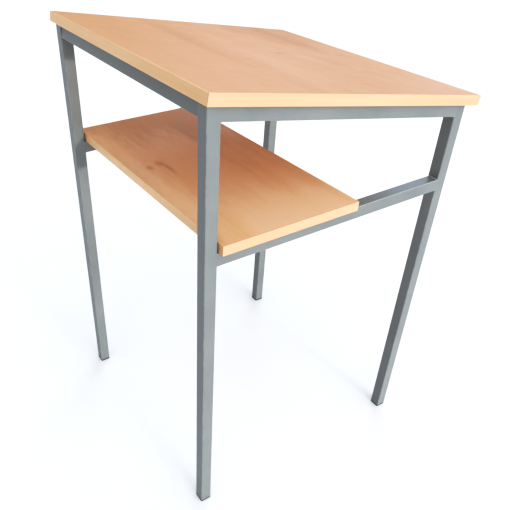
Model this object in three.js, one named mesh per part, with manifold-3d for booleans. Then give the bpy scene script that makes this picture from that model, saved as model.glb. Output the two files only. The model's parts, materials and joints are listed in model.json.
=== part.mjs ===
// A lectern stand: a welded frame of square steel tube that carries a sloping writing board and, below that,
// a half-depth book shelf. Millimetres, +Z up. The origin is on the floor, under the bounding box's centre.
// The high edge of the board faces the audience (-Y), and the low edge faces the reader (+Y).
import * as THREE from "three";
import { mergeVertices } from "three/addons/utils/BufferGeometryUtils.js";
import Module from "manifold-3d";

const wasm = await Module();
wasm.setup();

// Frame
const FRAME_WIDTH = 576; // over the outer faces of the legs, along X
const FRAME_DEPTH = 584; // over the outer faces of the legs, along Y
const HIGH_TOP = 920; // top of the tall legs, at their outer face
const LOW_TOP = 818; // top of the short legs, at their outer face
const SHELF_LEVEL = 667; // top of the rails that carry the shelf
const TUBE = 25; // square tube, outside
const TUBE_WALL = 1.5;
const TUBE_CORNER = 2.25; // outside corner radius
const ARC_SEGMENTS = 2; // curveSegments of a rounded corner, which gets twice as many straight pieces

// Boards: a core between two thin sheets, edged with plastic strip
const BOARD_THICKNESS = 19.4; // over both sheets
const SHEET_THICKNESS = 0.7;
const EDGING_THICKNESS = 2;
const EDGING_ROUND = 0.8; // along the strip's outer long edges
const TOP_WIDTH = 600;
const TOP_DEPTH = 620; // measured down the slope
const TOP_OVERHANG = 7.5; // past the tall legs, measured up the slope
const SHELF_WIDTH = 598;
const SHELF_DEPTH = 300;
const SHELF_CLEARANCE = 3.4; // from the tall legs to the shelf

// Feet
const FLANGE = 2.5; // thickness of the foot's flange, below the tube
const FLANGE_CHAMFER = 0.4;
const PLUG_LENGTH = 17;
const PLUG_SIZE = 20; // outside of the plug's hollow body
const PLUG_WALL = 2;
const RIB_SIZE = 21.4; // the ribs grip the inside of the tube
const RIB_THICKNESS = 1;
const RIB_PITCH = 4;
const RIB_COUNT = 4;

// Pan-head wood screws, 4 x 38
const SCREW_LENGTH = 38; // under the head
const SCREW_RADIUS = 2;
const SCREW_TIP = 6; // length of the tapered point
const HEAD_RADIUS = 4;
const HEAD_HEIGHT = 2.8;
const HEAD_ROUND = 1.4; // radius of the head's lower edge
const HEAD_STEPS = 3; // straight pieces in that radius
const ROUND_SIDES = 16; // of a screw or a drilled hole
const RECESS_SPAN = 4.4; // cross recess, tip to tip
const RECESS_WIDTH = 1;
const RECESS_DEPTH = 1.5;
const HOLE_RADIUS = 2.5; // drilled through both walls of a rail, and into the board
const TOP_SIDE_SCREWS = [140, 450]; // down the slope from the tall legs' outer face
const TOP_CROSS_SCREWS = [-140, 140]; // along X
const SHELF_SCREW_INSET = 60; // from the shelf's front and back edges

// Pieces that meet keep this much between them: the weld root, the glue line or the seat of a screw's head
const GAP = 0.3;
const OVERSHOOT = 1; // how far a cutting tool runs past the face that it cuts

const SLOPE = Math.atan((HIGH_TOP - LOW_TOP) / FRAME_DEPTH);
const HALF_WIDTH = FRAME_WIDTH / 2;
const HALF_DEPTH = FRAME_DEPTH / 2;

const material = (name, color, roughness, metalness) =>
  new THREE.MeshStandardMaterial({ name, color, roughness, metalness });
const PAINT = material("frame_paint", 0x8f999b, 0.45, 0.1);
const FOOT_PLASTIC = material("foot_plastic", 0x232527, 0.6, 0);
const BEECH = material("beech_laminate", 0xe2b38c, 0.5, 0);
const EDGE_PLASTIC = material("edging", 0xf0d5a8, 0.45, 0);
const BACKING = material("backing_sheet", 0xd8c9b4, 0.7, 0);
const CORE = material("board_core", 0xb08a5e, 0.9, 0);
const ZINC = material("screw_zinc", 0xb9bcbd, 0.35, 0.9);

// A closed geometry as a manifold-3d solid, and back.
function toSolid(geometry) {
  const bare = geometry.index ? geometry.toNonIndexed() : geometry.clone();
  bare.deleteAttribute("normal");
  bare.deleteAttribute("uv");
  const merged = mergeVertices(bare, 1e-4);
  return new wasm.Manifold(
    new wasm.Mesh({
      numProp: 3,
      vertProperties: merged.attributes.position.array,
      triVerts: new Uint32Array(merged.index.array),
    }),
  );
}

function toGeometry(solid) {
  const mesh = solid.getMesh();
  const geometry = new THREE.BufferGeometry();
  geometry.setAttribute("position", new THREE.BufferAttribute(mesh.vertProperties, 3));
  geometry.setIndex(new THREE.BufferAttribute(mesh.triVerts, 1));
  geometry.computeVertexNormals();
  return geometry;
}

const cut = (geometry, tools) =>
  toGeometry(tools.reduce((solid, tool) => solid.subtract(toSolid(tool)), toSolid(geometry)));

const join = (geometries) =>
  toGeometry(geometries.map(toSolid).reduce((solid, other) => solid.add(other)));

// A named mesh, placed at a point of the group that it is added to.
function piece(group, name, geometry, finish, position = [0, 0, 0]) {
  const mesh = new THREE.Mesh(geometry, finish);
  mesh.name = name;
  mesh.position.set(...position);
  group.add(mesh);
  return mesh;
}

// A square outline with rounded corners, centred on the origin.
function roundedSquare(size, radius, Outline = THREE.Shape) {
  const flat = size / 2 - radius;
  const outline = new Outline();
  outline.moveTo(flat, -size / 2);
  outline.absarc(flat, -flat, radius, -Math.PI / 2, 0, false);
  outline.absarc(flat, flat, radius, 0, Math.PI / 2, false);
  outline.absarc(-flat, flat, radius, Math.PI / 2, Math.PI, false);
  outline.absarc(-flat, -flat, radius, Math.PI, 1.5 * Math.PI, false);
  return outline;
}

// A box given by its lowest and highest corners.
function block(low, high) {
  const size = high.map((value, axis) => value - low[axis]);
  const geometry = new THREE.BoxGeometry(...size);
  return geometry.translate(...low.map((value, axis) => value + size[axis] / 2));
}

// A round tool along +Z, for drilling.
function drill(x, y, low, high) {
  const geometry = new THREE.CylinderGeometry(HOLE_RADIUS, HOLE_RADIUS, high - low, ROUND_SIDES);
  return geometry.rotateX(Math.PI / 2).translate(x, y, (low + high) / 2);
}

// A length of square tube along +Z from z = 0, open at both ends. Each end can be cut askew: the rise is how
// much further along the tube the cut lies for each millimetre of Y.
function tube(length, startRise = 0, endRise = 0) {
  const section = roundedSquare(TUBE, TUBE_CORNER);
  section.holes.push(roundedSquare(TUBE - 2 * TUBE_WALL, TUBE_CORNER - TUBE_WALL, THREE.Path));
  const geometry = new THREE.ExtrudeGeometry(section, {
    depth: length,
    bevelEnabled: false,
    curveSegments: ARC_SEGMENTS,
  });
  const points = geometry.attributes.position;
  for (let i = 0; i < points.count; i++) {
    const rise = points.getZ(i) > length / 2 ? endRise : startRise;
    points.setZ(i, points.getZ(i) + rise * points.getY(i));
  }
  return geometry;
}

// Legs: upright, with their tops cut to the slope and their lower ends open for the feet.
function addLegs(frame) {
  for (const [depthName, side, top] of [
    ["high", -1, HIGH_TOP - (TUBE / 2) * Math.tan(SLOPE)],
    ["low", 1, LOW_TOP + (TUBE / 2) * Math.tan(SLOPE)],
  ]) {
    for (const [widthName, hand] of [["left", -1], ["right", 1]]) {
      const x = hand * (HALF_WIDTH - TUBE / 2);
      const y = side * (HALF_DEPTH - TUBE / 2);
      const leg = tube(top - FLANGE - GAP, 0, -Math.tan(SLOPE));
      piece(frame, `leg_${depthName}_${widthName}`, leg, PAINT, [x, y, FLANGE + GAP]);
      piece(frame, `foot_insert_${depthName}_${widthName}`, footInsert(), FOOT_PLASTIC, [x, y, 0]);
    }
  }
}

// A foot insert: a flange under the end of the tube, and a hollow ribbed plug, open at the top, inside it.
function footInsert() {
  const flange = new THREE.ExtrudeGeometry(roundedSquare(TUBE - 2 * FLANGE_CHAMFER, TUBE_CORNER), {
    depth: FLANGE - 2 * FLANGE_CHAMFER,
    bevelThickness: FLANGE_CHAMFER,
    bevelSize: FLANGE_CHAMFER,
    bevelSegments: 1,
    curveSegments: ARC_SEGMENTS,
  }).translate(0, 0, FLANGE_CHAMFER);
  const half = PLUG_SIZE / 2;
  const body = block([-half, -half, FLANGE / 2], [half, half, FLANGE + PLUG_LENGTH]);
  const ribs = Array.from({ length: RIB_COUNT }, (_, i) => {
    const z = FLANGE + RIB_PITCH * (i + 0.5);
    return block([-RIB_SIZE / 2, -RIB_SIZE / 2, z], [RIB_SIZE / 2, RIB_SIZE / 2, z + RIB_THICKNESS]);
  });
  const inside = half - PLUG_WALL;
  const hollowTop = FLANGE + PLUG_LENGTH + OVERSHOOT;
  const hollow = block([-inside, -inside, FLANGE], [inside, inside, hollowTop]);
  return cut(join([flange, body, ...ribs]), [hollow]);
}

// Shelf rails: level, between the tall and the short legs, drilled upwards for the shelf's screws.
function addShelfRails(frame) {
  const length = FRAME_DEPTH - 2 * TUBE - 2 * GAP;
  for (const [name, hand] of [["left", -1], ["right", 1]]) {
    const x = hand * (HALF_WIDTH - TUBE / 2);
    const z = SHELF_LEVEL - TUBE / 2;
    const rail = tube(length).rotateX(-Math.PI / 2).translate(x, -length / 2, z);
    const holes = shelfScrewRows().map((y) => drill(x, y, z - TUBE, z + TUBE));
    piece(frame, `shelf_rail_${name}`, cut(rail, holes), PAINT);
  }
}

// The rails under the writing board, in a group whose floor is the slope: X across, Y down the slope from the
// tall legs' outer face, and Z square to the board.
function addTopRails(slope) {
  const middle = -TUBE / 2;
  const crossLength = FRAME_WIDTH - 2 * TUBE - 2 * GAP;
  const crossHoles = (y) => TOP_CROSS_SCREWS.map((x) => drill(x, y, -2 * TUBE, TUBE));
  for (const [name, y] of [["high", highRailCentre()], ["low", lowRailCentre()]]) {
    const rail = tube(crossLength).rotateY(Math.PI / 2).translate(-crossLength / 2, y, middle);
    piece(slope, `cross_rail_${name}`, cut(rail, crossHoles(y)), PAINT);
  }
  const start = (TUBE + GAP) / Math.cos(SLOPE);
  const length = (FRAME_DEPTH - 2 * (TUBE + GAP)) / Math.cos(SLOPE);
  const rise = Math.tan(SLOPE); // both ends are cut upright, to lie against the legs
  for (const [name, hand] of [["left", -1], ["right", 1]]) {
    const x = hand * (HALF_WIDTH - TUBE / 2);
    const rail = tube(length, rise, rise).rotateX(-Math.PI / 2);
    rail.translate(x, start + (TUBE / 2) * Math.tan(SLOPE), middle);
    const holes = TOP_SIDE_SCREWS.map((y) => drill(x, y, -2 * TUBE, TUBE));
    piece(slope, `side_rail_${name}`, cut(rail, holes), PAINT);
  }
}

// The high rail's lower outer edge is flush with the tall legs, and the low rail's upper outer edge with the
// short ones.
function highRailCentre() {
  return TUBE * Math.tan(SLOPE) + TUBE / 2;
}

function lowRailCentre() {
  return FRAME_DEPTH / Math.cos(SLOPE) - TUBE / 2;
}

// An edging strip along +X, its outer face at y = 0 and its back at y = EDGING_THICKNESS, with its two outer
// long edges rounded.
function edgingStrip(length) {
  const profile = new THREE.Shape();
  const round = EDGING_ROUND;
  profile.moveTo(0, round);
  profile.absarc(round, round, round, Math.PI, 1.5 * Math.PI, false);
  profile.lineTo(EDGING_THICKNESS, 0);
  profile.lineTo(EDGING_THICKNESS, BOARD_THICKNESS);
  profile.lineTo(round, BOARD_THICKNESS);
  profile.absarc(round, BOARD_THICKNESS - round, round, 0.5 * Math.PI, Math.PI, false);
  const geometry = new THREE.ExtrudeGeometry(profile, {
    depth: length,
    bevelEnabled: false,
    curveSegments: ARC_SEGMENTS,
  });
  // Shape X, shape Y and the extrusion become Y, Z and X.
  return geometry.applyMatrix4(new THREE.Matrix4().set(0, 0, 1, 0, 1, 0, 0, 0, 0, 1, 0, 0, 0, 0, 0, 1));
}

// A board whose lower face is z = 0, with its width along X and its depth from y = 0, as core, two sheets and
// four strips of edging. The screws' holes run up from below.
function addBoard(group, name, width, depth, screws) {
  const inset = EDGING_THICKNESS + GAP;
  const low = [inset - width / 2, inset];
  const high = [width / 2 - inset, depth - inset];
  const layer = (from, to) => block([...low, from], [...high, to]);
  const coreLow = SHEET_THICKNESS + GAP;
  const coreHigh = BOARD_THICKNESS - coreLow;
  const holeTop = SCREW_LENGTH - TUBE + OVERSHOOT;
  const holes = screws.map(([x, y]) => drill(x, y, -OVERSHOOT, holeTop));
  piece(group, `${name}_core`, cut(layer(coreLow, coreHigh), holes), CORE);
  piece(group, `${name}_laminate`, layer(coreHigh + GAP, BOARD_THICKNESS), BEECH);
  piece(group, `${name}_backing`, cut(layer(0, SHEET_THICKNESS), holes), BACKING);

  const across = width - 2 * inset;
  const highStrip = edgingStrip(across).translate(-across / 2, 0, 0);
  const lowStrip = edgingStrip(across).translate(-across / 2, 0, 0).rotateZ(Math.PI);
  const rightStrip = edgingStrip(depth).rotateZ(Math.PI / 2);
  const leftStrip = edgingStrip(depth).rotateZ(-Math.PI / 2);
  piece(group, `${name}_edging_high`, highStrip, EDGE_PLASTIC);
  piece(group, `${name}_edging_low`, lowStrip, EDGE_PLASTIC, [0, depth, 0]);
  piece(group, `${name}_edging_right`, rightStrip, EDGE_PLASTIC, [width / 2, 0, 0]);
  piece(group, `${name}_edging_left`, leftStrip, EDGE_PLASTIC, [-width / 2, depth, 0]);
}

// A pan-head screw along +Z: the underside of its head is at z = 0, and a cross recess is cut in the head.
function screw() {
  const dome = Array.from({ length: HEAD_STEPS + 1 }, (_, i) => {
    const turn = (i / HEAD_STEPS) * (Math.PI / 2);
    return new THREE.Vector2(
      HEAD_RADIUS - HEAD_ROUND * (1 - Math.sin(turn)),
      -HEAD_HEIGHT + HEAD_ROUND * (1 - Math.cos(turn)),
    );
  });
  const profile = [
    new THREE.Vector2(0, -HEAD_HEIGHT),
    ...dome,
    new THREE.Vector2(HEAD_RADIUS, 0),
    new THREE.Vector2(SCREW_RADIUS, 0),
    new THREE.Vector2(SCREW_RADIUS, SCREW_LENGTH - SCREW_TIP),
    new THREE.Vector2(0, SCREW_LENGTH),
  ];
  const body = new THREE.LatheGeometry(profile, ROUND_SIDES).rotateX(Math.PI / 2);
  const arm = RECESS_SPAN / 2;
  const half = RECESS_WIDTH / 2;
  const floor = RECESS_DEPTH - HEAD_HEIGHT;
  const below = -HEAD_HEIGHT - OVERSHOOT;
  return cut(body, [
    block([-arm, -half, below], [arm, half, floor]),
    block([-half, -arm, below], [half, arm, floor]),
  ]);
}

// The two places along Y where screws hold the shelf to each shelf rail.
function shelfScrewRows() {
  const front = shelfFront();
  return [front + SHELF_SCREW_INSET, front + SHELF_DEPTH - SHELF_SCREW_INSET];
}

function shelfFront() {
  return -HALF_DEPTH + TUBE + SHELF_CLEARANCE;
}

function addTop(slope) {
  const railX = HALF_WIDTH - TUBE / 2;
  const places = [
    ...TOP_CROSS_SCREWS.map((x) => [x, highRailCentre()]),
    ...TOP_CROSS_SCREWS.map((x) => [x, lowRailCentre()]),
    ...TOP_SIDE_SCREWS.map((y) => [-railX, y]),
    ...TOP_SIDE_SCREWS.map((y) => [railX, y]),
  ];
  const board = new THREE.Group();
  board.position.set(0, -TOP_OVERHANG, GAP);
  slope.add(board);
  addBoard(
    board,
    "top",
    TOP_WIDTH,
    TOP_DEPTH,
    places.map(([x, y]) => [x, y + TOP_OVERHANG]),
  );
  places.forEach(([x, y], i) => {
    piece(slope, `top_screw_${i + 1}`, screw(), ZINC, [x, y, -TUBE - GAP]);
  });
}

function addShelf(frame) {
  const railX = HALF_WIDTH - TUBE / 2;
  const places = [-railX, railX].flatMap((x) => shelfScrewRows().map((y) => [x, y]));
  const board = new THREE.Group();
  board.position.set(0, shelfFront(), SHELF_LEVEL + GAP);
  frame.add(board);
  addBoard(
    board,
    "shelf",
    SHELF_WIDTH,
    SHELF_DEPTH,
    places.map(([x, y]) => [x, y - shelfFront()]),
  );
  places.forEach(([x, y], i) => {
    piece(frame, `shelf_screw_${i + 1}`, screw(), ZINC, [x, y, SHELF_LEVEL - TUBE - GAP]);
  });
}

// The middle of the bounding box along Y, seen from the middle of the legs: the board's lower corner is the
// furthest point on the high side, and its upper corner on the low side.
function boxCentre() {
  const highest = -HALF_DEPTH - TOP_OVERHANG * Math.cos(SLOPE) + GAP * Math.sin(SLOPE);
  const reach = TOP_DEPTH * Math.cos(SLOPE) + BOARD_THICKNESS * Math.sin(SLOPE);
  return highest + reach / 2;
}

const stand = new THREE.Group();
stand.position.y = -boxCentre();

const slope = new THREE.Group();
slope.position.set(0, -HALF_DEPTH, HIGH_TOP);
slope.rotation.x = -SLOPE;
stand.add(slope);

addLegs(stand);
addShelfRails(stand);
addTopRails(slope);
addShelf(stand);
addTop(slope);

export default stand;
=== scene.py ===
import json
import math
import random

import bmesh
import bpy
from mathutils import Matrix, Vector


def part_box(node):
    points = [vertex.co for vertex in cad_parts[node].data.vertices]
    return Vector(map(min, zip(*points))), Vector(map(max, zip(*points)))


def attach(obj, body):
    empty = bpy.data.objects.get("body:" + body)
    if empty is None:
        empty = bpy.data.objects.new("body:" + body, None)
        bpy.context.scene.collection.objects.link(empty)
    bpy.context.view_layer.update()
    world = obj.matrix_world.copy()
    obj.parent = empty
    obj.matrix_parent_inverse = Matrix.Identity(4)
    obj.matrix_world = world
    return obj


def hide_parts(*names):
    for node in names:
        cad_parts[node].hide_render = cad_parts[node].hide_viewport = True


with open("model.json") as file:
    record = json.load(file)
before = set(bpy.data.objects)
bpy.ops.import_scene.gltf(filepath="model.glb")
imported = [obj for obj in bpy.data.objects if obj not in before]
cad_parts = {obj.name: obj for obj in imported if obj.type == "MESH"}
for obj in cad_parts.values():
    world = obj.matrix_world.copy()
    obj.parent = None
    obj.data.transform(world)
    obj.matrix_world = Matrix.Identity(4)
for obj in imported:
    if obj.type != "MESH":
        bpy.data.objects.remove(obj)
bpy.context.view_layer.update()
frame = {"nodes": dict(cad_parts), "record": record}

# A lectern stand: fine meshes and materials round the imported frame. Metres, +Z up, X across the stand.
# The board's high edge faces -Y, and its low edge faces +Y. Every piece but the welds stands for the CAD
# node that it is named after, and the cores are the CAD nodes themselves.

MM = 0.001

# Square tube
TUBE_WALL = 1.5 * MM
TUBE_CORNER = 2.25 * MM
CORNER_STEPS = 8
LEG_END_ROUND = 0.3 * MM  # the deburred lower end of a leg
HOLE_RADIUS = 2.5 * MM
HOLE_SIDES = 32
OVERSHOOT = 1 * MM  # how far a cutting tool runs past the face that it cuts

# Weld beads
FILLET = 1.7 * MM
FILLET_SWELL = 0.22
FILLET_SINK = 0.1  # how far a fillet's root lies inside its corner, as a share of its size
BUTT_WIDTH = 2.3 * MM  # to each side of the seam
BUTT_HEIGHT = 0.6 * MM
BUTT_SINK = 0.3  # the same for a butt bead, as a share of its height
BEAD_STEP = 0.35 * MM
BEAD_SIDES = 8
BLUNT_END = 0.02  # the square of a bead's smallest taper
RIPPLE_PITCH = 1.4 * MM
RIPPLE_DEPTH = 0.09
BEAD_WANDER = 0.05
WELD_SEED = 7

# Boards
EDGING_ARRIS = 1.0 * MM  # radius along the edging's long outer edges
EDGING_CORNER = 1.2 * MM  # radius of the board's upright corners
EDGING_STEPS = 5
SHEET_ARRIS = 0.15 * MM
FINE_STEPS = 2  # facets of the smallest roundings
SEAM = 0.04 * MM  # between a face sheet and the edging round it
CLOSE = 0.04 * MM  # points nearer than this are in the same place

# Feet
FOOT_ARRIS = 0.6 * MM
FOOT_STEPS = 4
PLUG_WALL = 2 * MM
PLUG_HALF = 10 * MM
RIB_HALF = 10.7 * MM
RIB_PITCH = 4 * MM
RIB_THICKNESS = 1 * MM
RIB_COUNT = 4
# Half widths round a rib, and their heights as shares of its thickness
RIB_RINGS = ((PLUG_HALF, 0), (RIB_HALF, 0.2), (RIB_HALF, 0.6), (PLUG_HALF, 1))
GATE_RADIUS = 2.6 * MM  # the round sink that the mould's gate leaves under the foot
GATE_DEPTH = 0.35 * MM
GATE_RINGS = ((0.5, 0.4), (0.85, 1), (1, 0))  # shares of the sink's radius and of its depth

# Screws
THREAD_PITCH = 1.8 * MM
THREAD_START = 4 * MM
THREAD_DEPTH = 0.6 * MM
TIP_LENGTH = 6 * MM
HEAD_ROUND = 1.4 * MM
HEAD_CROWN = 0.25 * MM
HEAD_SHARE = 0.7  # the CAD head is 2.8 mm high on a 4 mm radius
CROWN_SHARE = 0.4  # how much of the crown falls off towards the head's rim
HEAD_LIP = 0.1 * MM
HEAD_STEPS = 5
CROWN_RINGS = (0.02, 0.5, 0.8, 1.0)  # from the crown's middle to where the head turns down
PLAIN_SINK = 0.3  # how much thinner the plain part is, as a share of the thread's depth
RIDGE_HALF = 0.25  # half of a thread ridge's width, as a share of the pitch
TIP_RADIUS = 0.1 * MM
SCREW_SIDES = 32
THREAD_ROWS = 8  # rows of points in each turn
RECESS_REACH = 2.1 * MM
RECESS_HALF = 0.55 * MM
RECESS_DEPTH = 1.7 * MM
RECESS_TAPER = 0.45  # width and reach at the recess's floor, as a share of those at its mouth
SCREW_SEED = 3

SHARP_ANGLE = math.radians(35)
QUARTER = math.radians(90)
ACROSS, ALONG, UP = Vector((1, 0, 0)), Vector((0, 1, 0)), Vector((0, 0, 1))


# Places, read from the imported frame

def box_in(space, node):
    """The lowest and highest corners of a CAD node, along the axes of a space."""
    into = space.inverted()
    points = [into @ vertex.co for vertex in frame["nodes"][node].data.vertices]
    low = Vector([min(point[axis] for point in points) for axis in range(3)])
    high = Vector([max(point[axis] for point in points) for axis in range(3)])
    return low, high


def slope_space():
    """X across, Y down the slope and Z square to the board, from the top of the tall legs' outer faces."""
    mount = next(m for m in frame["record"]["mounts"] if m["name"] == "writing_surface")
    square = Vector(mount["axis"]).normalized()
    down = square.cross(ACROSS)
    low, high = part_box("leg_high_left")
    axes = Matrix((ACROSS, down, square)).transposed().to_4x4()
    return Matrix.Translation((0, low.y, high.z)) @ axes


FLOOR_SPACE = Matrix.Identity(4)
SLOPE = slope_space()
DOWN_SLOPE = SLOPE.col[1].to_3d()
SLOPE_SQUARE = SLOPE.col[2].to_3d()
LEG_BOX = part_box("leg_high_right")
HALF = (LEG_BOX[1].x - LEG_BOX[0].x) / 2
LEG_X = LEG_BOX[1].x - HALF
HIGH_Y = LEG_BOX[0].y + HALF
LOW_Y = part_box("leg_low_right")[1].y - HALF
FLANGE = LEG_BOX[0].z


# Mesh building

def square_ring(half, radius):
    """Points round a square with round corners, as pairs of offsets from its middle."""
    flat = half - radius
    ring = []
    for corner, (side_a, side_b) in enumerate(((1, -1), (1, 1), (-1, 1), (-1, -1))):
        for step in range(CORNER_STEPS + 1):
            angle = QUARTER * (corner - 1 + step / CORNER_STEPS)
            a = side_a * flat + radius * math.cos(angle)
            b = side_b * flat + radius * math.sin(angle)
            ring.append((a, b))
    return ring


def bridge(bm, first, second):
    """Faces between two closed rings with the same number of points."""
    count = len(first)
    for i in range(count):
        after = (i + 1) % count
        bm.faces.new((first[i], first[after], second[after], second[i]))


def loft(bm, rings):
    """A skin through rings of points, closed by a flat face at each end."""
    loops = [[bm.verts.new(point) for point in ring] for ring in rings]
    for first, second in zip(loops, loops[1:]):
        bridge(bm, first, second)
    bm.faces.new(loops[0][::-1])
    bm.faces.new(loops[-1])


def block(low, high):
    """A box between two corners."""
    bm = bmesh.new()
    bmesh.ops.create_cube(bm, size=1)
    for vertex in bm.verts:
        vertex.co = Vector([(low[i] if vertex.co[i] < 0 else high[i]) for i in range(3)])
    return bm


def round_edges(bm, chosen, radius, steps):
    """Rounds the edges that the chosen test accepts."""
    edges = [edge for edge in bm.edges if chosen(*(vertex.co for vertex in edge.verts))]
    bmesh.ops.bevel(bm, geom=edges, offset=radius, segments=steps, profile=0.5, affect="EDGES")


def temporary(bm):
    mesh = bpy.data.meshes.new("temporary")
    bm.to_mesh(mesh)
    bm.free()
    made = bpy.data.objects.new("temporary", mesh)
    bpy.context.scene.collection.objects.link(made)
    return made


def carved(solid, tool):
    """One solid less another."""
    for bm in (solid, tool):
        bmesh.ops.recalc_face_normals(bm, faces=bm.faces)
    body, cutter = temporary(solid), temporary(tool)
    cut = body.modifiers.new("cut", "BOOLEAN")
    cut.operation = "DIFFERENCE"
    cut.solver = "EXACT"
    cut.object = cutter
    result = bmesh.new()
    result.from_object(body, bpy.context.evaluated_depsgraph_get())
    for thing in (body, cutter):
        mesh = thing.data
        bpy.data.objects.remove(thing)
        bpy.data.meshes.remove(mesh)
    return result


def drilled(solid, holes):
    """A solid with round holes along Z of its space, each given as x, y, lowest and highest."""
    tool = bmesh.new()
    for x, y, low, high in holes:
        ring = [
            (x + HOLE_RADIUS * math.cos(turn), y + HOLE_RADIUS * math.sin(turn))
            for turn in (math.tau * i / HOLE_SIDES for i in range(HOLE_SIDES))
        ]
        loft(tool, [[(a, b, z) for a, b in ring] for z in (low, high)])
    return carved(solid, tool)


def piece(name, shape, material, space=FLOOR_SPACE, node=None):
    """A finished object in its space. The shape is a bmesh, or a mesh that another piece already has."""
    fresh = isinstance(shape, bmesh.types.BMesh)
    mesh = bpy.data.meshes.new(name) if fresh else shape
    if fresh:
        bmesh.ops.recalc_face_normals(shape, faces=shape.faces)
        shape.to_mesh(mesh)
        shape.free()
        mesh.shade_smooth()
        mesh.set_sharp_from_angle(angle=SHARP_ANGLE)
        mesh.materials.append(material)
    made = bpy.data.objects.new(name, mesh)
    bpy.context.scene.collection.objects.link(made)
    made.matrix_world = space
    made.modifiers.new("flat faces", "WEIGHTED_NORMAL").keep_sharp = True
    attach(made, "root")
    if node:
        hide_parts(node)
    return made


# Material building

# Cosines of how far the middle and the border of an arris turn off an axis
ARRIS_TURN, FLAT_TURN = 0.75, 0.97


class Graph:
    """The nodes of a material or a world, each made by a call that reads like a formula."""

    def __init__(self, owner):
        owner.use_nodes = True
        self.owner = owner
        self.nodes = owner.node_tree.nodes
        self.links = owner.node_tree.links
        coordinates = self.nodes.new("ShaderNodeTexCoord")
        self.place = coordinates.outputs["Object"]
        self.facing = coordinates.outputs["Normal"]
        self.direction = coordinates.outputs["Generated"]

    def feed(self, socket, value):
        if isinstance(value, bpy.types.NodeSocket):
            self.links.new(value, socket)
        else:
            socket.default_value = value

    def node(self, kind, inputs, output=0, **settings):
        made = self.nodes.new(kind)
        for setting, value in settings.items():
            setattr(made, setting, value)
        for socket, value in inputs.items():
            self.feed(made.inputs[socket], value)
        return made.outputs[output]

    def maths(self, operation, a, b, clamp=False):
        return self.node("ShaderNodeMath", {0: a, 1: b}, operation=operation, use_clamp=clamp)

    def add(self, a, b):
        return self.maths("ADD", a, b)

    def times(self, a, b):
        return self.maths("MULTIPLY", a, b)

    def scaled(self, vector, scale):
        return self.node("ShaderNodeVectorMath", {0: vector, 1: scale}, operation="MULTIPLY")

    def moved(self, vector, offset):
        return self.node("ShaderNodeVectorMath", {0: vector, 1: offset}, operation="ADD")

    def split(self, vector):
        parts = self.nodes.new("ShaderNodeSeparateXYZ")
        self.feed(parts.inputs[0], vector)
        return parts.outputs

    def joined(self, x, y, z=0.0):
        return self.node("ShaderNodeCombineXYZ", {0: x, 1: y, 2: z})

    def noise(self, vector, scale=1.0, detail=2.0, roughness=0.5):
        inputs = {"Vector": vector, "Scale": scale, "Detail": detail, "Roughness": roughness}
        return self.node("ShaderNodeTexNoise", inputs)

    def cells(self, vector, output="Distance"):
        return self.node("ShaderNodeTexVoronoi", {"Vector": vector, "Scale": 1.0}, output)

    def ease(self, value, low, high, to_low=0.0, to_high=1.0):
        """A smooth step from one value to another."""
        inputs = {
            "Value": value,
            "From Min": low,
            "From Max": high,
            "To Min": to_low,
            "To Max": to_high,
        }
        return self.node("ShaderNodeMapRange", inputs, interpolation_type="SMOOTHSTEP")

    def spread(self, value, low, high):
        """Noise, which keeps near a half, spread evenly between two values."""
        inputs = {"Value": value, "From Min": 0.3, "From Max": 0.7, "To Min": low, "To Max": high}
        return self.node("ShaderNodeMapRange", inputs)

    def mix(self, share, a, b):
        """The first colour, with a share of the second."""
        made = self.nodes.new("ShaderNodeMix")
        made.data_type = "RGBA"
        colours = [socket for socket in made.inputs if socket.type == "RGBA"]
        self.feed(made.inputs[0], share)
        for socket, value in zip(colours, (a, b)):
            self.feed(socket, value if isinstance(value, bpy.types.NodeSocket) else (*value, 1))
        return next(socket for socket in made.outputs if socket.type == "RGBA")

    def patch(self, vector, centre, radii):
        """1 at the centre of a soft oval, and 0 outside it."""
        offset = self.moved(vector, tuple(-value for value in centre))
        oval = self.scaled(offset, tuple(1 / radius for radius in radii))
        distance = self.node("ShaderNodeVectorMath", {0: oval}, "Value", operation="LENGTH")
        return self.ease(distance, 0.0, 1.0, 1.0, 0.0)

    def arrises(self):
        """1 on rounded edges and 0 on flat faces, from how far the surface turns off the object's axes."""
        turned = self.node("ShaderNodeVectorMath", {0: self.facing}, operation="ABSOLUTE")
        x, y, z = self.split(turned)
        squarest = self.maths("MAXIMUM", self.maths("MAXIMUM", x, y), z)
        return self.ease(squarest, ARRIS_TURN, FLAT_TURN, 1.0, 0.0)

    def finish(self, colour, roughness, height, depth, specular=0.5, metallic=0.0):
        """Connects the surface. Depth is how deep the height's full range is, in metres."""
        shader = self.nodes["Principled BSDF"].inputs
        self.feed(shader["Base Color"], colour)
        self.feed(shader["Roughness"], roughness)
        shader["Specular IOR Level"].default_value = specular
        shader["Metallic"].default_value = metallic
        bump = self.node("ShaderNodeBump", {"Height": height, "Distance": depth})
        self.feed(shader["Normal"], bump)
        return self.owner


def surface(name):
    return Graph(bpy.data.materials.new(name))


PAINT_DEEP = (0.186, 0.196, 0.192)
PAINT_PALE = (0.222, 0.231, 0.223)
PAINT_SPECK = (0.27, 0.29, 0.295)
# Arrises are rubbed paler towards this colour: partly wear, partly a painted highlight.
PAINT_RUBBED_AND_HIGHLIGHT = (0.33, 0.35, 0.355)
# The colour of the painted highlight along arrises that face upwards.
PAINT_UPPER_ARRIS_HIGHLIGHT = (0.43, 0.47, 0.49)
PAINT_SCUFFED = (0.125, 0.135, 0.135)
PEEL_SCALE = 420.0  # features to the metre, as in every noise below
TOOTH_SCALE = 2600.0
SPECK_SCALE = 1400.0
CLOUD_SCALE = 7.0
PEEL_DEPTH = 0.05 * MM
SCUFF_REACH = (0.01, 0.12)  # the scuffs fade out between these heights over the floor


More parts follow.
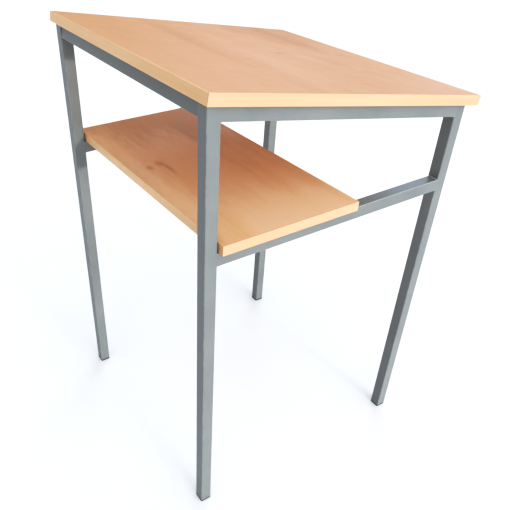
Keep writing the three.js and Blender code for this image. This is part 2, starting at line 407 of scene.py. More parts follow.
def powder_coat(name, scuffed_feet=False):
    """Satin grey powder coat: orange peel, a fine tooth, slow clouds, arrises rubbed paler, partly as wear
    and partly as a painted highlight, and upward arrises painted paler as a painted highlight.
    """
    g = surface(name)
    cloud = g.noise(g.place, CLOUD_SCALE, 4.0, 0.55)
    colour = g.mix(g.spread(cloud, 0.0, 1.0), PAINT_DEEP, PAINT_PALE)
    speck = g.noise(g.place, SPECK_SCALE, 1.0)
    colour = g.mix(g.spread(speck, 0.0, 0.12), colour, PAINT_SPECK)
    # Partly wear and partly a painted highlight along the arrises.
    rub_and_highlight = g.times(g.arrises(), g.ease(g.noise(g.place, 55.0, 5.0, 0.65), 0.42, 0.66))
    colour = g.mix(g.times(rub_and_highlight, 0.60), colour, PAINT_RUBBED_AND_HIGHLIGHT)
    # Painted highlight: arrises that face upwards are painted paler, for the light from above that they
    # catch.
    upper_arris_highlight = g.times(g.arrises(), g.ease(g.split(g.facing)[2], 0.25, 0.60))
    colour = g.mix(g.times(upper_arris_highlight, 0.75), colour, PAINT_UPPER_ARRIS_HIGHLIGHT)
    roughness = g.add(g.spread(cloud, 0.34, 0.42), g.times(rub_and_highlight, -0.06))
    if scuffed_feet:
        low_down = g.ease(g.split(g.place)[2], *SCUFF_REACH, 1.0, 0.0)
        scuffs = g.ease(g.noise(g.scaled(g.place, (160, 160, 45)), 1.0, 4.0, 0.7), 0.56, 0.66)
        scuffed = g.times(low_down, scuffs)
        colour = g.mix(g.times(scuffed, 0.3), colour, PAINT_SCUFFED)
        roughness = g.add(roughness, g.times(scuffed, 0.15))
    peel = g.noise(g.place, PEEL_SCALE, 2.0, 0.45)
    tooth = g.noise(g.place, TOOTH_SCALE, 1.0)
    height = g.add(peel, g.times(tooth, 0.12))
    return g.finish(colour, roughness, height, PEEL_DEPTH, specular=0.31)


FOOT_BLACK = (0.010, 0.010, 0.011)
FOOT_DUST = (0.07, 0.067, 0.063)
DUST_REACH = 1.5 * MM
SPARK_DEPTH = 0.05 * MM


def foot_plastic():
    """Matt black polyethylene with a fine spark texture, a little dusty where it meets the floor."""
    g = surface("foot_plastic")
    dust = g.ease(g.noise(g.place, 240.0, 4.0, 0.6), 0.45, 0.70)
    low_down = g.ease(g.split(g.place)[2], 0.0, DUST_REACH, 1.0, 0.1)
    colour = g.mix(g.times(g.times(dust, low_down), 0.4), FOOT_BLACK, FOOT_DUST)
    texture = g.add(g.noise(g.place, 2200.0, 2.0), g.times(g.noise(g.place, 500.0, 2.0), 0.5))
    roughness = g.spread(g.noise(g.place, 300.0, 3.0), 0.55, 0.72)
    return g.finish(colour, roughness, texture, SPARK_DEPTH, specular=0.2)


# A board's print lies in metres from the left corner of its high edge. Shades run from pale to dark. A
# patch is a centre, its radii and how much it darkens the print; some patches are painted light or shade,
# as marked. A knot is a centre and its radii.
TOP_SHADES = ((0.642, 0.371, 0.217), (0.602, 0.325, 0.180), (0.499, 0.243, 0.122))
TOP_PATCHES = (
    ((0.26, 0.205, 0), (0.60, 0.052, 1), 0.26),
    ((0.42, 0.285, 0), (0.30, 0.045, 1), -0.26),
    ((0.33, 0.405, 0), (0.06, 0.025, 1), -0.26),
    ((0.37, 0.455, 0), (0.10, 0.040, 1), 0.26),
    ((0.17, 0.500, 0), (0.22, 0.060, 1), 0.20),
    # Painted shade: the left corner of the low edge is painted darker, to damp the window's gloss there.
    ((0.02, 0.560, 0), (0.36, 0.320, 1), 0.40),
    # Painted sheen: the right corner of the low edge is painted paler, for the gloss that it shows.
    ((0.60, 0.620, 0), (0.24, 0.260, 1), -0.30),
)
TOP_KNOTS = (((0.306, 0.362, 0), (0.016, 0.028, 1)),)
# The shelf is the same laminate as the top, but its shades are paler as painted light, and the pale one is
# pinker for the painted sheen at its +X end.
SHELF_SHADES_PAINTED_LIGHTER = ((0.825, 0.550, 0.378), (0.750, 0.452, 0.246), (0.560, 0.298, 0.130))
SHELF_PATCHES = (
    ((0.29, 0.072, 0), (0.05, 0.010, 1), 0.35),
    ((0.38, 0.020, 0), (0.28, 0.060, 1), -0.25),
    # Painted shade: darker at the front right corner, beside the right high leg.
    ((0.60, 0.000, 0), (0.16, 0.160, 1), 0.35),
    # Painted light and sheen: the shelf's +X end is painted paler and pinker, where more light reaches it
    # under the board.
    ((0.60, 0.150, 0), (0.24, 0.400, 1), -0.55),
    # Painted shade: the shelf's -X end is painted darker, where less light reaches it.
    ((0.00, 0.200, 0), (0.28, 0.420, 1), 0.60),
)
SHELF_KNOTS = (((0.263, 0.066, 0), (0.030, 0.018, 1)), ((0.272, 0.040, 0), (0.022, 0.014, 1)))
SHELF_STAVE = (0.188, 0.42, 0.56, 0.20)
KNOT_HALO = (0.52, 0.25, 0.115)
KNOT_HEART = (0.33, 0.145, 0.06)
GRAIN_DEPTH = 0.03 * MM
STAVE_BORDER = 12 * MM


class Grain:
    """The lines of a wood print along X, bent round knots."""

    def __init__(self, g, knots=()):
        self.g = g
        x, y, _ = g.split(g.place)
        slow = g.noise(g.scaled(g.place, (1.6, 4.0, 1.0)), 1.0, 2.0)
        line = g.add(y, g.spread(slow, -0.012, 0.012))
        self.knot_marks = []
        for centre, radii in knots:
            mark = g.patch(g.place, centre, radii)
            self.knot_marks.append(mark)
            sideways = g.maths("SUBTRACT", y, centre[1])
            line = g.maths("SUBTRACT", line, g.times(g.times(sideways, mark), 0.6))
        self.x = x
        self.line = line

    def streaks(self, across, along, detail=2.0, roughness=0.5, seed=0.0):
        """Noise with so many features to the metre across the lines and along them."""
        g = self.g
        vector = g.joined(g.times(self.x, along), g.times(self.line, across), seed)
        return g.noise(vector, 1.0, detail, roughness)

    def flecks(self):
        """1 in the small dark spindles that beech shows."""
        g = self.g
        vector = g.joined(g.times(self.x, 190.0), g.times(self.line, 720.0))
        spindle = g.ease(g.cells(vector), 0.16, 0.30, 1.0, 0.0)
        sparse = g.ease(self.streaks(90.0, 30.0, seed=4.0), 0.48, 0.60)
        return g.times(spindle, sparse)


def beech(name, shades, patches, knots, stave=None):
    """A satin beech print, some of whose patches paint light and shade. A darker stave has the line where
    it starts, where it fades, and a share.
    """
    g = surface(name)
    grain = Grain(g, knots)
    bands = g.spread(grain.streaks(15.0, 1.6, 2.0), -0.5, 0.5)
    mottle = g.spread(grain.streaks(34.0, 9.0, 3.0, 0.55, seed=6.0), -0.5, 0.5)
    streaks = g.spread(grain.streaks(130.0, 3.0, 3.0, 0.6, seed=2.0), -0.5, 0.5)
    fibre = g.spread(grain.streaks(1500.0, 35.0, 2.0, 0.5, seed=3.0), -0.5, 0.5)
    flecks = grain.flecks()
    tone = g.add(0.45, g.times(bands, 0.28))
    tone = g.add(tone, g.times(mottle, 0.17))
    tone = g.add(tone, g.times(streaks, 0.10))
    tone = g.add(tone, g.times(fibre, 0.20))
    for centre, radii, strength in patches:
        tone = g.add(tone, g.times(g.patch(g.place, centre, radii), strength))
    if stave:
        edge, fade_start, fade_end, share = stave
        beyond = g.ease(grain.line, edge, edge + STAVE_BORDER)
        lasting = g.ease(grain.x, fade_start, fade_end, share, 0.0)
        tone = g.add(tone, g.times(beyond, lasting))
    tone = g.maths("ADD", tone, g.times(flecks, 0.22), clamp=True)
    pale, middle, dark = shades
    colour = g.mix(g.ease(tone, 0.0, 0.5), pale, middle)
    colour = g.mix(g.ease(tone, 0.5, 1.0), colour, dark)
    for mark in grain.knot_marks:
        halo = g.ease(mark, 0.05, 0.6)
        heart = g.ease(mark, 0.5, 0.95)
        colour = g.mix(g.times(halo, 0.24), colour, KNOT_HALO)
        colour = g.mix(g.times(heart, 0.26), colour, KNOT_HEART)
    handled = g.noise(g.place, 22.0, 4.0, 0.6)
    roughness = g.add(g.spread(handled, 0.38, 0.48), g.times(flecks, 0.08))
    height = g.add(g.times(fibre, 0.5), g.times(flecks, -0.6))
    height = g.add(height, g.times(g.noise(g.place, 900.0, 2.0), 0.6))
    return g.finish(colour, roughness, height, GRAIN_DEPTH, specular=0.25)


# Pale, deep and scraped, for the strips that run across the stand and for those that run down the slope
# The strips across the stand are the same edging as those down the slope, painted paler: painted light on
# their faces.
ACROSS_SHADES_PAINTED_LIGHTER = ((0.780, 0.510, 0.308), (0.742, 0.468, 0.268), (0.80, 0.60, 0.39))
DOWN_SHADES = ((0.685, 0.412, 0.262), (0.650, 0.375, 0.228), (0.72, 0.50, 0.34))
EDGING_DEPTH = 0.02 * MM


def edging_plastic(name, axis, shades):
    """Satin edging with a faint print of wood lines along one axis, scraped paler along its arrises."""
    g = surface(name)
    x, y, z = g.split(g.place)
    run, side = (x, y) if axis == "x" else (y, x)
    lines = g.joined(g.times(run, 9.0), g.times(z, 620.0), g.times(side, 620.0))
    print_lines = g.spread(g.noise(lines, 1.0, 3.0, 0.6), 0.0, 1.0)
    clouds = g.joined(g.times(run, 4.0), g.times(z, 60.0), 1.0)
    tone = g.add(g.times(print_lines, 0.35), g.times(g.spread(g.noise(clouds), 0.0, 1.0), 0.65))
    pale, deep, scraped = shades
    colour = g.mix(g.ease(tone, 0.1, 0.9), pale, deep)
    arrises = g.arrises()
    colour = g.mix(g.times(arrises, 0.55), colour, scraped)
    roughness = g.add(g.spread(g.noise(g.place, 40.0, 3.0), 0.33, 0.42), g.times(arrises, 0.12))
    height = g.add(g.times(print_lines, 0.4), g.noise(g.place, 1300.0, 2.0))
    return g.finish(colour, roughness, height, EDGING_DEPTH, specular=0.3)


BACKING_SHADES = ((0.73, 0.57, 0.42), (0.64, 0.47, 0.32))
CORE_SHADES = ((0.50, 0.34, 0.19), (0.30, 0.18, 0.09))
ZINC_SHADES = ((0.60, 0.60, 0.585), (0.68, 0.69, 0.69))
PAPER_DEPTH = 0.04 * MM
FLAKE_DEPTH = 0.2 * MM
PLATING_DEPTH = 0.01 * MM


def backing_sheet():
    """The matt balancing sheet under a board: a washed-out wood print with a mottled paper texture."""
    g = surface("backing_sheet")
    grain = Grain(g)
    streaks = g.spread(grain.streaks(90.0, 2.0, 3.0, 0.6), 0.0, 1.0)
    mottle = g.spread(g.noise(g.place, 300.0, 3.0), 0.0, 1.0)
    tone = g.add(g.times(streaks, 0.7), g.times(mottle, 0.3))
    colour = g.mix(g.ease(tone, 0.1, 0.9), *BACKING_SHADES)
    roughness = g.spread(g.noise(g.place, 60.0, 3.0), 0.62, 0.78)
    return g.finish(colour, roughness, mottle, PAPER_DEPTH, specular=0.3)


def board_core():
    """Pressed wood flakes."""
    g = surface("board_core")
    flakes = g.cells(g.scaled(g.place, (420, 420, 900)), "Color")
    shade = g.split(flakes)[0]
    colour = g.mix(shade, *CORE_SHADES)
    height = g.noise(g.place, 700.0, 3.0)
    return g.finish(colour, g.spread(height, 0.8, 0.95), height, FLAKE_DEPTH, specular=0.2)


def zinc():
    """Bright zinc plating, slightly clouded, with a fine grain."""
    g = surface("screw_zinc")
    cloud = g.noise(g.place, 500.0, 3.0)
    colour = g.mix(g.spread(cloud, 0.0, 1.0), *ZINC_SHADES)
    roughness = g.spread(g.noise(g.place, 900.0, 3.0), 0.26, 0.42)
    return g.finish(colour, roughness, g.noise(g.place, 3000.0, 2.0), PLATING_DEPTH, metallic=1.0)


# Frame

def leg_reach(offset):
    """How far a leg's face lies from its centre line, at an offset to one side. Arrises lie nearer."""
    past = min(max(abs(offset) - (HALF - TUBE_CORNER), 0.0), TUBE_CORNER)
    return HALF - TUBE_CORNER + math.sqrt(TUBE_CORNER**2 - past**2)


def tube(centre, across, over, along, reach):
    """A tube whose lines along it each run between the two distances that reach gives for that line."""
    bm = bmesh.new()
    loops = []
    for inset in (0.0, TUBE_WALL):
        section = square_ring(HALF - inset, TUBE_CORNER - inset)
        points = [centre + a * across + b * over for a, b in section]
        for end in range(2):
            loops.append([bm.verts.new(point + reach(point)[end] * along) for point in points])
    outer_start, outer_end, inner_start, inner_end = loops
    bridge(bm, outer_start, outer_end)
    bridge(bm, inner_end, inner_start)
    bridge(bm, inner_start, outer_start)
    bridge(bm, outer_end, inner_end)
    return bm


def slope_height(y):
    """Height of the slope on which the board lies."""
    return SLOPE.translation.z - (y - SLOPE.translation.y) * SLOPE_SQUARE.y / SLOPE_SQUARE.z


def make_legs(paint):
    for depth, y in (("high", HIGH_Y), ("low", LOW_Y)):
        for side, hand in (("left", -1), ("right", 1)):
            name = f"leg_{depth}_{side}"
            centre = Vector((hand * LEG_X, y, 0))
            bm = tube(centre, ACROSS, ALONG, UP, lambda point: (FLANGE, slope_height(point.y)))
            rim = [edge for edge in bm.edges if on_lower_rim(edge, centre)]
            bmesh.ops.bevel(bm, geom=rim, offset=LEG_END_ROUND, segments=FINE_STEPS, affect="EDGES")
            piece(f"{name}_tube", bm, paint, node=name)


def on_lower_rim(edge, centre):
    """Whether an edge lies along the outer rim of a leg's lower end, and not across its wall."""
    points = [vertex.co for vertex in edge.verts]
    reach = [max(abs(point.x - centre.x), abs(point.y - centre.y)) for point in points]
    is_low = max(point.z for point in points) < FLANGE + TUBE_WALL
    return is_low and min(reach) > HALF - TUBE_WALL / 2


def screw_places(prefix, space, rail):
    """Where the screws of one rail stand, as x and y in a space."""
    low, high = box_in(space, rail)
    places = []
    for node in sorted(n for n in frame["nodes"] if n.startswith(f"{prefix}_screw_")):
        screw_low, screw_high = box_in(space, node)
        middle = (screw_low + screw_high) / 2
        if low.x < middle.x < high.x and low.y < middle.y < high.y:
            places.append((middle.x, middle.y))
    return places


def make_rail(name, space, along, reach, prefix, paint):
    low, high = box_in(space, name)
    centre = (low + high) / 2
    centre -= centre.dot(along) * along
    bm = tube(centre, along.cross(UP), UP, along, reach)
    top = high.z + OVERSHOOT
    bottom = low.z - OVERSHOOT
    holes = [(x, y, bottom, top) for x, y in screw_places(prefix, space, name)]
    piece(f"{name}_tube", drilled(bm, holes), paint, space, name)


def make_side_rails(paint):
    for side, hand in (("left", -1), ("right", 1)):
        def sloping(point):
            """Both ends follow the legs' faces, which are upright."""
            reach = leg_reach(point.x - hand * LEG_X)
            lift = point.z * SLOPE_SQUARE.y + SLOPE.translation.y
            ends = (HIGH_Y + reach, LOW_Y - reach)
            return [(y - lift) / DOWN_SLOPE.y for y in ends]

        def level(point):
            reach = leg_reach(point.x - hand * LEG_X)
            return HIGH_Y + reach, LOW_Y - reach

        make_rail(f"side_rail_{side}", SLOPE, ALONG, sloping, "top", paint)
        make_rail(f"shelf_rail_{side}", FLOOR_SPACE, ALONG, level, "shelf", paint)


def make_cross_rails(paint):
    for depth, leg_y, outward in (("high", HIGH_Y, -1), ("low", LOW_Y, 1)):
        def between_legs(point):
            """The ends follow the legs' outer arrises. Further in they meet the flat sides."""
            y = (SLOPE @ point).y
            reach = leg_reach(max((y - leg_y) * outward, 0.0))
            return reach - LEG_X, LEG_X - reach

        make_rail(f"cross_rail_{depth}", SLOPE, ACROSS, between_legs, "top", paint)


# Welds

def fillet(first, second, size):
    """The section of a bead in a corner, between two directions that lead out of the corner."""
    section = []
    for step in range(BEAD_SIDES + 1):
        turn = QUARTER * step / BEAD_SIDES
        swell = 1 + FILLET_SWELL * math.sin(2 * turn)
        section.append((first * math.cos(turn) ** 2 + second * math.sin(turn) ** 2) * size * swell)
    section.append((first + second) * -FILLET_SINK * size)
    return section


def butt(sideways, outwards):
    """The section of a shallow bead over a flush seam."""
    section = []
    for step in range(BEAD_SIDES + 1):
        turn = 2 * QUARTER * step / BEAD_SIDES
        section.append(sideways * BUTT_WIDTH * math.cos(turn) + outwards * BUTT_HEIGHT * math.sin(turn))
    section.append(outwards * -BUTT_SINK * BUTT_HEIGHT)
    return section


def add_bead(bm, start, end, section, chance):
    """A rippled bead from start to end, with round ends."""
    length = (end - start).length
    direction = (end - start) / length
    reach = max(offset.length for offset in section)
    rings = []
    for step in range(round(length / BEAD_STEP) + 1):
        distance = min(step * BEAD_STEP, length)
        from_end = min(distance, length - distance) / reach
        taper = math.sqrt(max(1 - (1 - min(from_end, 1.0)) ** 2, BLUNT_END))
        wander = 1 + BEAD_WANDER * chance.uniform(-1, 1)
        ring = []
        for index, offset in enumerate(section):
            bow = math.sin(math.pi * index / BEAD_SIDES) if index <= BEAD_SIDES else 0
            phase = (distance + 0.5 * RIPPLE_PITCH * bow) / RIPPLE_PITCH
            ripple = 1 + RIPPLE_DEPTH * math.cos(math.tau * phase)
            ring.append(start + direction * distance + offset * taper * wander * ripple)
        rings.append(ring)
    loft(bm, rings)


def weld_side_rails(paint):
    """A fillet under each sloping side rail and a bead up its inner seam, at both ends."""
    for side, hand in (("left", -1), ("right", 1)):
        inner, outer = hand * (LEG_X - HALF), hand * (LEG_X + HALF)
        for depth, leg_y, into in (("high", HIGH_Y, 1), ("low", LOW_Y, -1)):
            chance = random.Random(f"{WELD_SEED} {side} {depth}")
            bm = bmesh.new()
            face_y = leg_y + into * HALF
            bottom = slope_height(face_y) - 2 * HALF / SLOPE_SQUARE.z
            corner = Vector((0, face_y, bottom))
            inset = TUBE_CORNER / 2
            start = corner + ACROSS * (inner + hand * inset)
            end = corner + ACROSS * (outer - hand * inset)
            add_bead(bm, start, end, fillet(into * DOWN_SLOPE, -UP, FILLET), chance)
            seam = Vector((inner, face_y, 0))
            start = seam + UP * (bottom + TUBE_CORNER)
            end = seam + UP * (slope_height(face_y) - TUBE_CORNER)
            add_bead(bm, start, end, butt(ALONG, -hand * ACROSS), chance)
            piece(f"weld_side_rail_{depth}_{side}", bm, paint)


def weld_shelf_rails(paint):
    """Fillets above and below each shelf rail and a bead up its inner seam, at both ends."""
    for side, hand in (("left", -1), ("right", 1)):
        low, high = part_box(f"shelf_rail_{side}")
        inner, outer = sorted((low.x, high.x), key=abs)
        for depth, leg_y, into in (("high", HIGH_Y, 1), ("low", LOW_Y, -1)):
            chance = random.Random(f"{WELD_SEED} shelf {side} {depth}")
            bm = bmesh.new()
            face_y = leg_y + into * HALF
            for z, outwards in ((low.z, -UP), (high.z, UP)):
                corner = Vector((0, face_y, z))
                start = corner + ACROSS * (inner + hand * TUBE_CORNER / 2)
                end = corner + ACROSS * (outer - hand * TUBE_CORNER / 2)
                add_bead(bm, start, end, fillet(into * ALONG, outwards, FILLET), chance)
            seam = Vector((inner, face_y, 0))
            start = seam + UP * (low.z + TUBE_CORNER)
            end = seam + UP * (high.z - TUBE_CORNER)
            add_bead(bm, start, end, butt(ALONG, -hand * ACROSS), chance)
            piece(f"weld_shelf_rail_{depth}_{side}", bm, paint)


def weld_cross_rails(paint):
    """A fillet under each end of a cross rail and one up its inner face, where it meets the side rail."""
    for depth, outward in (("high", -1), ("low", 1)):
        low, high = box_in(SLOPE, f"cross_rail_{depth}")
        inner_v, outer_v = (high.y, low.y) if outward < 0 else (low.y, high.y)
        for side, hand in (("left", -1), ("right", 1)):
            chance = random.Random(f"{WELD_SEED} cross {depth} {side}")
            bm = bmesh.new()
            x = hand * (LEG_X - HALF)
            inset = outward * TUBE_CORNER
            start = SLOPE @ Vector((x, inner_v + inset, low.z))
            end = SLOPE @ Vector((x, outer_v - inset, low.z))
            add_bead(bm, start, end, fillet(-hand * ACROSS, -SLOPE_SQUARE, FILLET), chance)
            start = SLOPE @ Vector((x, inner_v, low.z + TUBE_CORNER))
            end = SLOPE @ Vector((x, inner_v, high.z - TUBE_CORNER))
            section = fillet(-hand * ACROSS, -outward * DOWN_SLOPE, FILLET)
            add_bead(bm, start, end, section, chance)
            piece(f"weld_cross_rail_{depth}_{side}", bm, paint)


# Feet

def foot_rings():
    """Rings from the middle of the underside, round the flange, up the ribbed plug and down inside."""
    rings = []
    for width, depth in GATE_RINGS:
        rings.append((width * GATE_RADIUS, width * GATE_RADIUS, depth * GATE_DEPTH))
    for low_side in (True, False):
        for step in range(FOOT_STEPS + 1):
            turn = QUARTER * (step / FOOT_STEPS)
            turn = turn if low_side else QUARTER - turn
            inset = FOOT_ARRIS * (1 - math.sin(turn))
            lift = FOOT_ARRIS * (1 - math.cos(turn))
            z = lift if low_side else FLANGE - lift
            rings.append((HALF - inset, TUBE_CORNER - inset, z))
    corner = TUBE_CORNER - TUBE_WALL
    rings.append((PLUG_HALF, corner, FLANGE))
    for index in range(RIB_COUNT):
        z = FLANGE + RIB_PITCH * (index + 0.5)
        for half, share in RIB_RINGS:
            rings.append((half, corner, z + share * RIB_THICKNESS))
    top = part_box("foot_insert_high_right")[1].z
    rings.append((PLUG_HALF, corner, top))
    rings.append((PLUG_HALF - PLUG_WALL, corner, top))
    rings.append((PLUG_HALF - PLUG_WALL, corner, FLANGE))
    return [[(a, b, z) for a, b in square_ring(half, radius)] for half, radius, z in rings]


def make_feet(plastic):
    shape = bmesh.new()
    loft(shape, foot_rings())
    for depth, y in (("high", HIGH_Y), ("low", LOW_Y)):
        for side, hand in (("left", -1), ("right", 1)):
            node = f"foot_insert_{depth}_{side}"
            space = Matrix.Translation((hand * LEG_X, y, 0))
            made = piece(f"{node}_moulding", shape, plastic, space, node)
            shape = made.data


# Boards

def board_space(name, space):
    """A board's size, and its own space, from the left corner of its high edge, on its underside."""
    low, _ = box_in(space, f"{name}_edging_left")
    _, high = box_in(space, f"{name}_edging_right")
    return space @ Matrix.Translation(low), high - low


def make_board(name, space, laminate, edging, backing):
    home, size = board_space(name, space)
    strip = box_in(home, f"{name}_edging_left")[1].x
    core_low, core_high = box_in(home, f"{name}_core")
    low = Vector((strip + SEAM, strip + SEAM, 0))
    high = Vector((size.x - strip - SEAM, size.y - strip - SEAM, size.z))

    sheet = block((low.x, low.y, core_high.z), high)
    round_edges(sheet, lambda a, b: min(a.z, b.z) > core_high.z, SHEET_ARRIS, FINE_STEPS)
    piece(f"{name}_laminate_sheet", sheet, laminate, home, f"{name}_laminate")

    under = block(low, (high.x, high.y, core_low.z))
    round_edges(under, lambda a, b: max(a.z, b.z) < core_low.z, SHEET_ARRIS, FINE_STEPS)
    holes = []
    for node in frame["nodes"]:
        if node.startswith(f"{name}_screw_"):
            screw_low, screw_high = box_in(home, node)
            middle = (screw_low + screw_high) / 2
            holes.append((middle.x, middle.y, -OVERSHOOT, core_low.z + OVERSHOOT))
    under = drilled(under, holes)
    piece(f"{name}_backing_sheet", under, backing, home, f"{name}_backing")

    strips = {
        "high": ((strip, 0, 0), (size.x - strip, strip, size.z)),
        "low": ((strip, size.y - strip, 0), (size.x - strip, size.y, size.z)),
        "left": ((0, 0, 0), (strip, size.y, size.z)),
        "right": ((size.x - strip, 0, 0), size),
    }
    for side, corners in strips.items():
        bm = edging_strip(corners, side, size)
        node = f"{name}_edging_{side}"
        piece(f"{node}_strip", bm, edging[side], home, node)


def dress_cores(material):
    for node in ("top_core", "shelf_core"):
        materials = frame["nodes"][node].data.materials
        materials.clear()
        materials.append(material)


def edging_strip(corners, side, size):
    """A strip with rounded long outer edges. The ones at the left and right also turn the corners."""
    bm = block(*corners)
    axis = 0 if side in ("left", "right") else 1
    outer = 0.0 if side in ("left", "high") else size[axis]

    def depths(a, b):
        """How far the two ends of an edge lie behind the strip's outer face."""
        return abs(a[axis] - outer), abs(b[axis] - outer)

    def is_level(a, b):
        return abs(a.z - b.z) < CLOSE

    def is_corner(a, b):
        return max(depths(a, b)) < CLOSE and not is_level(a, b)

    def is_long(a, b):
        return max(depths(a, b)) < CLOSE and is_level(a, b)

    def is_long_or_turning(a, b):
        """Along the outer face, or round one of its corners."""
        near, far = sorted(depths(a, b))
        return is_level(a, b) and far < EDGING_CORNER + CLOSE and near <= EDGING_CORNER - CLOSE

    if axis == 0:
        round_edges(bm, is_corner, EDGING_CORNER, EDGING_STEPS)
        round_edges(bm, is_long_or_turning, EDGING_ARRIS, EDGING_STEPS)
    else:
        round_edges(bm, is_long, EDGING_ARRIS, EDGING_STEPS)
    return bm


# Screws

def thread_radius(z, turn, shank, length):
    """Radius of the screw's shank at a height and an angle."""
    if z < THREAD_START:
        return shank - THREAD_DEPTH * PLAIN_SINK
    tip = min((length - z) / TIP_LENGTH, 1.0)
    phase = (z / THREAD_PITCH - turn / math.tau) % 1
    ridge = max(0.0, 1 - abs(phase - 0.5) / RIDGE_HALF)
    grown = min((z - THREAD_START) / THREAD_PITCH, 1.0)
    return max((shank - THREAD_DEPTH * (1 - ridge * grown)) * tip, TIP_RADIUS)


def screw_shape():
    """A pan-head screw along +Z, with the underside of its head at z = 0, and its length from there."""
    low, high = box_in(SLOPE, "top_screw_1")
    radius = (high.x - low.x) / 2
    head = radius * HEAD_SHARE
    length = (high.z - low.z) - head
    shank = radius / 2
    profile = []
    for share in CROWN_RINGS:
        reach = (radius - HEAD_ROUND) * share
        profile.append((reach, -head + HEAD_CROWN * share**2 * CROWN_SHARE))
    for step in range(1, HEAD_STEPS + 1):
        turn = QUARTER * step / HEAD_STEPS
        z = -head + HEAD_CROWN * CROWN_SHARE + HEAD_ROUND * (1 - math.cos(turn))
        profile.append((radius - HEAD_ROUND * (1 - math.sin(turn)), z))
    profile.append((radius, -HEAD_LIP))
    profile.append((radius - HEAD_LIP, 0.0))
    profile.append((shank, 0.0))
    turns = [math.tau * i / SCREW_SIDES for i in range(SCREW_SIDES)]
    rings = [[(r * math.cos(t), r * math.sin(t), z) for t in turns] for r, z in profile]
    rows = round(length / THREAD_PITCH * THREAD_ROWS)
    for row in range(1, rows + 1):
        z = length * row / rows
        radii = [thread_radius(z, turn, shank, length) for turn in turns]
        rings.append([(r * math.cos(t), r * math.sin(t), z) for r, t in zip(radii, turns)])
    bm = bmesh.new()
    loft(bm, rings)
    return carved(bm, cross_recess(-head)), length


def cross_recess(face):
    """The tool for a cross recess, tapering from the head's face to its floor."""
    arm = (
        Vector((RECESS_HALF, -RECESS_HALF, 0)),
        Vector((RECESS_REACH, -RECESS_HALF, 0)),
        Vector((RECESS_REACH, RECESS_HALF, 0)),
    )
    turns = [Matrix.Rotation(QUARTER * quarter, 3, "Z") for quarter in range(4)]
    outline = [turn @ corner for turn in turns for corner in arm]
    mouth = [point + UP * (face - OVERSHOOT) for point in outline]
    flush = [point + UP * (face + HEAD_CROWN) for point in outline]
    floor = [point * RECESS_TAPER + UP * (face + RECESS_DEPTH) for point in outline]
    bm = bmesh.new()
    loft(bm, [mouth, flush, floor])
    return bm


def make_screws(material):
    shape, length = screw_shape()
    chance = random.Random(SCREW_SEED)
    for node in sorted(n for n in frame["nodes"] if "_screw_" in n):
        space = SLOPE if node.startswith("top") else FLOOR_SPACE
        low, high = box_in(space, node)
        middle = (low + high) / 2
        seat = Matrix.Translation((middle.x, middle.y, high.z - length))
        turn = Matrix.Rotation(chance.uniform(0, math.tau), 4, "Z")
        made = piece(f"{node}_threaded", shape, material, space @ seat @ turn, node)
        shape = made.data


# Surroundings

CAMERA_PLACE = Vector((968.8, -736.6, 1198.6)) * MM
CAMERA_YAW = math.radians(58.085)  # from +Y towards -X
CAMERA_PITCH = math.radians(-36.592)
CAMERA_ROLL = math.radians(0.295)
CAMERA_LENS = 41.848
CAMERA_SENSOR = 36
CAMERA_SHIFT = (0.1120, 0.0742)


def make_camera():
    level = math.cos(CAMERA_PITCH)
    forward = Vector(
        (-math.sin(CAMERA_YAW) * level, math.cos(CAMERA_YAW) * level, math.sin(CAMERA_PITCH))
    )
    right = forward.cross(UP).normalized()
    upward = right.cross(forward)
    axes = Matrix((right, upward, -forward)).transposed()
    camera = bpy.data.objects.new("camera", bpy.data.cameras.new("camera"))
    bpy.context.scene.collection.objects.link(camera)
    turned = axes @ Matrix.Rotation(CAMERA_ROLL, 3, "Z")
    camera.matrix_world = Matrix.Translation(CAMERA_PLACE) @ turned.to_4x4()
    camera.data.sensor_width = CAMERA_SENSOR
    camera.data.lens = CAMERA_LENS
    camera.data.shift_x, camera.data.shift_y = CAMERA_SHIFT
    bpy.context.scene.camera = camera


# Distant lights: name, azimuth, elevation, strength, softness and colour. Azimuth 0 is +X and 90 is +Y,
# and the angles are in degrees. The sheen is the gloss on the board's right low corner, from the camera.
SUNS = (
    ("low_key", 4, 3.5, 1.50, 1.5, (1.0, 0.985, 0.96)),
    ("high_key", 5, 28, 0.62, 30, (1, 1, 1)),
    ("left_fill", 190, 5, 0.42, 30, (1, 1, 1)),
    ("back_fill", 80, 5, 0.50, 30, (1, 1, 1)),
    ("sheen", 112, 6, 0.14, 30, (0.72, 0.95, 1.25)),
)


def make_sun(name, azimuth, elevation, strength, softness, colour):
    """A soft distant light."""
    light = bpy.data.lights.new(name, "SUN")
    light.energy = strength
    light.angle = math.radians(softness)
    light.color = colour
    lamp = bpy.data.objects.new(name, light)
    bpy.context.scene.collection.objects.link(lamp)
    turn, lift = math.radians(azimuth), math.radians(elevation)
    towards = Vector(
        (math.cos(turn) * math.cos(lift), math.sin(turn) * math.cos(lift), math.sin(lift))
    )
    lamp.rotation_mode = "QUATERNION"
    lamp.rotation_quaternion = towards.to_track_quat("Z", "Y")


WALLS = 0.12  # the dim ones
BRIGHT_WALL = 1.15  # at +X
BRIGHT_WALL_EDGE = 0.1  # the X of a direction at which it starts
CEILING = 1.19
CEILING_LEAN = 0.85  # how much brighter the ceiling is towards +X than overhead
CEILING_EDGE, CEILING_FULL = 0.45, 0.65  # sines of the heights between which the ceiling starts
ROOM_TINT = (0.955, 1.0, 1.07)
BACKDROP = 1.0
WINDOW_DIRECTION = Vector((-0.60, 0.62, 0.53)).normalized()
WINDOW_EDGE = 0.93  # cosine of the angle from its middle at which the window's glow ends
WINDOW_GLOW = 3.6
WINDOW_TINT = (0.84, 0.96, 1.16)


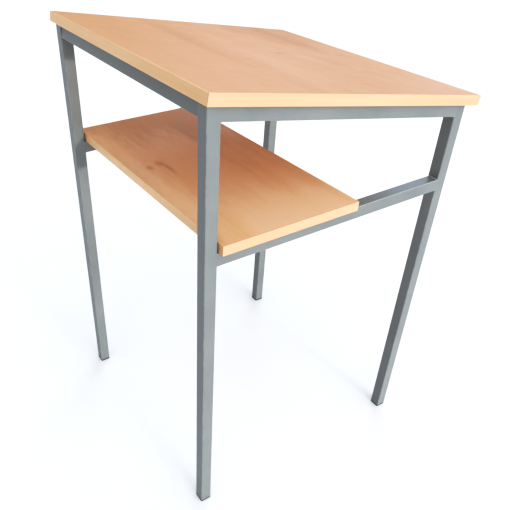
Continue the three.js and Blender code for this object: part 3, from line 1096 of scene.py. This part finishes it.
def make_world():
    """A bright ceiling, one bright wall and dim ones, and a window's glow. The camera sees plain white."""
    world = bpy.data.worlds.new("studio")
    bpy.context.scene.world = world
    g = Graph(world)
    sideways, _, upward = g.split(g.direction)
    walls = g.ease(sideways, BRIGHT_WALL_EDGE, 1.0, WALLS, BRIGHT_WALL)
    ceiling = g.add(CEILING, g.times(sideways, CEILING_LEAN))
    room = g.ease(upward, CEILING_EDGE, CEILING_FULL, walls, ceiling)
    inputs = {0: g.direction, 1: WINDOW_DIRECTION}
    towards = g.node("ShaderNodeVectorMath", inputs, "Value", operation="DOT_PRODUCT")
    window = g.ease(towards, WINDOW_EDGE, 1.0)
    light = g.add(room, g.times(window, WINDOW_GLOW))
    tint = g.mix(window, ROOM_TINT, WINDOW_TINT)
    seen = g.node("ShaderNodeLightPath", {}, "Is Camera Ray")
    background = g.nodes["Background"]
    strength = g.node("ShaderNodeMix", {"Factor": seen, "A": light, "B": BACKDROP}, "Result")
    g.feed(background.inputs["Strength"], strength)
    g.feed(background.inputs["Color"], g.mix(seen, tint, (1, 1, 1)))


FLOOR_HALF = 30.0
FLOOR_THICKNESS = 20 * MM
FLOOR_SHADES = ((0.91, 0.91, 0.91), (0.93, 0.93, 0.93))
FLOOR_DEPTH = 0.2 * MM


def make_floor():
    bm = block((-FLOOR_HALF, -FLOOR_HALF, -FLOOR_THICKNESS), (FLOOR_HALF, FLOOR_HALF, 0))
    g = surface("floor")
    mottle = g.noise(g.place, 3.0, 4.0)
    colour = g.mix(g.spread(mottle, 0.0, 1.0), *FLOOR_SHADES)
    material = g.finish(colour, g.spread(mottle, 0.75, 0.85), mottle, FLOOR_DEPTH, specular=0.2)
    mesh = bpy.data.meshes.new("floor")
    bm.to_mesh(mesh)
    bm.free()
    mesh.materials.append(material)
    floor = bpy.data.objects.new("floor", mesh)
    bpy.context.scene.collection.objects.link(floor)


# Points of the contrast curve, each a tone and how it is shown: dark ones darker, and light ones lighter
TONES = ((0.17, 0.108), (0.27, 0.200), (0.45, 0.450), (0.78, 0.830))


def set_tones():
    """A mild contrast curve, the same for the three colours."""
    view = bpy.context.scene.view_settings
    view.view_transform = "Standard"
    view.use_curve_mapping = True
    curve = view.curve_mapping.curves[3]
    for light, shown in TONES:
        curve.points.new(light, shown)
    view.curve_mapping.update()


def main():
    make_camera()
    paint = powder_coat("frame_paint")
    make_legs(powder_coat("leg_paint", scuffed_feet=True))
    make_side_rails(paint)
    make_cross_rails(paint)
    weld_side_rails(paint)
    weld_shelf_rails(paint)
    weld_cross_rails(paint)
    make_feet(foot_plastic())
    make_screws(zinc())
    strips = {
        "high": edging_plastic("edging_across_painted_lighter", "x", ACROSS_SHADES_PAINTED_LIGHTER),
        "right": edging_plastic("edging_down", "y", DOWN_SHADES),
    }
    strips["low"], strips["left"] = strips["high"], strips["right"]
    backing = backing_sheet()
    top_print = beech("beech_top", TOP_SHADES, TOP_PATCHES, TOP_KNOTS)
    shelf_print = beech("beech_shelf", SHELF_SHADES_PAINTED_LIGHTER, SHELF_PATCHES, SHELF_KNOTS, SHELF_STAVE)
    make_board("top", SLOPE, top_print, strips, backing)
    make_board("shelf", FLOOR_SPACE, shelf_print, strips, backing)
    dress_cores(board_core())
    make_world()
    for sun in SUNS:
        make_sun(*sun)
    make_floor()
    set_tones()


main()
